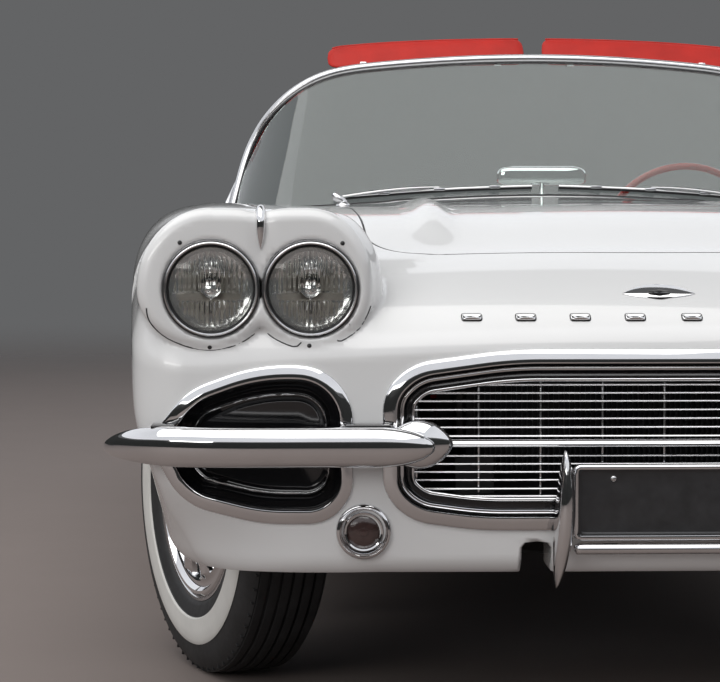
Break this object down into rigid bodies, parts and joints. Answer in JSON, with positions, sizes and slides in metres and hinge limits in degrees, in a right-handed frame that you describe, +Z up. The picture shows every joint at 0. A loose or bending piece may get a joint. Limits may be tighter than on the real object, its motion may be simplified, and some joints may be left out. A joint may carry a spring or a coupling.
{
  "type": "classic roadster car",
  "caption": "Open classic roadster in white with paired round headlamps, a chrome bar grille, split bumpers, whitewall tyres and a red cabin. Wheels roll and steer; doors, hood and lids open.",
  "frame": {"origin": "on the ground under the middle of the car's overall length and width", "axes": "+X is the car's left side, +Y points to the rear, +Z is up; the car faces -Y"},
  "size_m": [1.832, 4.4877, 1.3319],
  "materials": {
    "body_paint": "gloss white paint",
    "black_metal": "satin black paint",
    "engine_metal": "dull cast metal",
    "knuckle_steel": "machined casting",
    "bright_metal": "bright chrome",
    "lamp_glass": "clear fluted glass",
    "red_lens": "clear red plastic lens",
    "clear_glass": "clear curved glass",
    "red_trim": "red vinyl trim",
    "red_gloss": "gloss dark red",
    "tyre_rubber": "black rubber with a white band",
    "wheel_metal": "bright pressed cover on a steel wheel"
  },
  "bodies": {
    "chassis": {"fender_left": "body_paint", "fender_right": "body_paint", "nose_panel": "body_paint", "cowl_panel": "body_paint", "quarter_left": "body_paint", "quarter_right": "body_paint", "tail_panel": "body_paint", "frame": "black_metal", "floor_pan": "black_metal", "bulkheads": "black_metal", "sills": "black_metal", "trunk_floor": "black_metal", "scoop_bowls": "black_metal", "leaf_springs": "black_metal", "front_suspension": "black_metal", "lid_rests": "black_metal", "engine": "engine_metal", "rear_axle": "engine_metal", "grille_surround": "bright_metal", "grille": "bright_metal", "scoop_trims": "bright_metal", "front_bumpers": "bright_metal", "front_guards": "bright_metal", "headlamp_rings": "bright_metal", "windscreen_frame": "bright_metal", "wipers": "bright_metal", "rear_bumpers": "bright_metal", "rear_plate": "bright_metal", "exhaust": "bright_metal", "mirror": "bright_metal", "headlamps": "lamp_glass", "parking_lamps": "lamp_glass", "tail_lamps": "red_lens", "windscreen": "clear_glass", "dashboard": "red_trim", "seats": "red_trim", "sun_visors": "red_trim", "steering_column": "red_gloss"},
    "knuckle_left": {"knuckle_left": "knuckle_steel"},
    "knuckle_right": {"knuckle_right": "knuckle_steel"},
    "wheel_fl": {"tyre_front_left": "tyre_rubber", "wheel_front_left": "wheel_metal"},
    "wheel_fr": {"tyre_front_right": "tyre_rubber", "wheel_front_right": "wheel_metal"},
    "wheel_rl": {"tyre_rear_left": "tyre_rubber", "wheel_rear_left": "wheel_metal"},
    "wheel_rr": {"tyre_rear_right": "tyre_rubber", "wheel_rear_right": "wheel_metal"},
    "steering": {"steering_wheel": "red_gloss"},
    "left_door": {"door_left": "body_paint", "vent_window_left": "bright_metal"},
    "right_door": {"door_right": "body_paint", "vent_window_right": "bright_metal"},
    "bonnet": {"hood": "body_paint"},
    "top_cover": {"top_lid": "body_paint"},
    "boot_lid": {"trunk_lid": "body_paint"}
  },
  "joints": [
    {"name": "steer_right", "type": "hinge", "parent": "chassis", "child": "knuckle_right", "pos_m": [-0.64, -1.436, 0.345], "axis": [0, 0, 1], "range_deg": [-52, 8]},
    {"name": "steer_left", "type": "hinge", "parent": "chassis", "child": "knuckle_left", "pos_m": [0.64, -1.436, 0.345], "axis": [0, 0, 1], "range_deg": [-52, 8]},
    {"name": "turn_steering_wheel", "type": "hinge", "parent": "chassis", "child": "steering", "pos_m": [0.395, -0.15, 0.838], "axis": [0, 0.9135, 0.4067], "range_deg": [-832, 128]},
    {"name": "roll_front_right", "type": "hinge", "parent": "knuckle_right", "child": "wheel_fr", "pos_m": [-0.71788, -1.46747, 0.345], "axis": [0.9272, 0.3746, 0], "continuous": true},
    {"name": "roll_front_left", "type": "hinge", "parent": "knuckle_left", "child": "wheel_fl", "pos_m": [0.71788, -1.40453, 0.345], "axis": [0.9272, 0.3746, 0], "continuous": true},
    {"name": "roll_rear_right", "type": "hinge", "parent": "chassis", "child": "wheel_rr", "pos_m": [-0.7495, 1.155, 0.345], "axis": [1, 0, 0], "continuous": true},
    {"name": "roll_rear_left", "type": "hinge", "parent": "chassis", "child": "wheel_rl", "pos_m": [0.7495, 1.155, 0.345], "axis": [1, 0, 0], "continuous": true},
    {"name": "open_right_door", "type": "hinge", "parent": "chassis", "child": "right_door", "pos_m": [-0.88, -0.444, 0.6], "axis": [0, 0, 1], "range_deg": [0, 65]},
    {"name": "open_left_door", "type": "hinge", "parent": "chassis", "child": "left_door", "pos_m": [0.88, -0.444, 0.6], "axis": [0, 0, -1], "range_deg": [0, 65]},
    {"name": "open_hood", "type": "hinge", "parent": "chassis", "child": "bonnet", "pos_m": [0, -1.944, 0.812], "axis": [1, 0, 0], "range_deg": [0, 55]},
    {"name": "open_top_cover", "type": "hinge", "parent": "chassis", "child": "top_cover", "pos_m": [0, 0.929, 0.878], "axis": [-1, 0, 0], "range_deg": [0, 75]},
    {"name": "open_trunk_lid", "type": "hinge", "parent": "chassis", "child": "boot_lid", "pos_m": [0, 0.941, 0.878], "axis": [1, 0, 0], "range_deg": [0, 60]}
  ],
  "couplings": [
    {"joint": "steer_left", "follows": "steer_right", "ratio": 1},
    {"joint": "turn_steering_wheel", "follows": "steer_right", "ratio": 16}
  ]
}
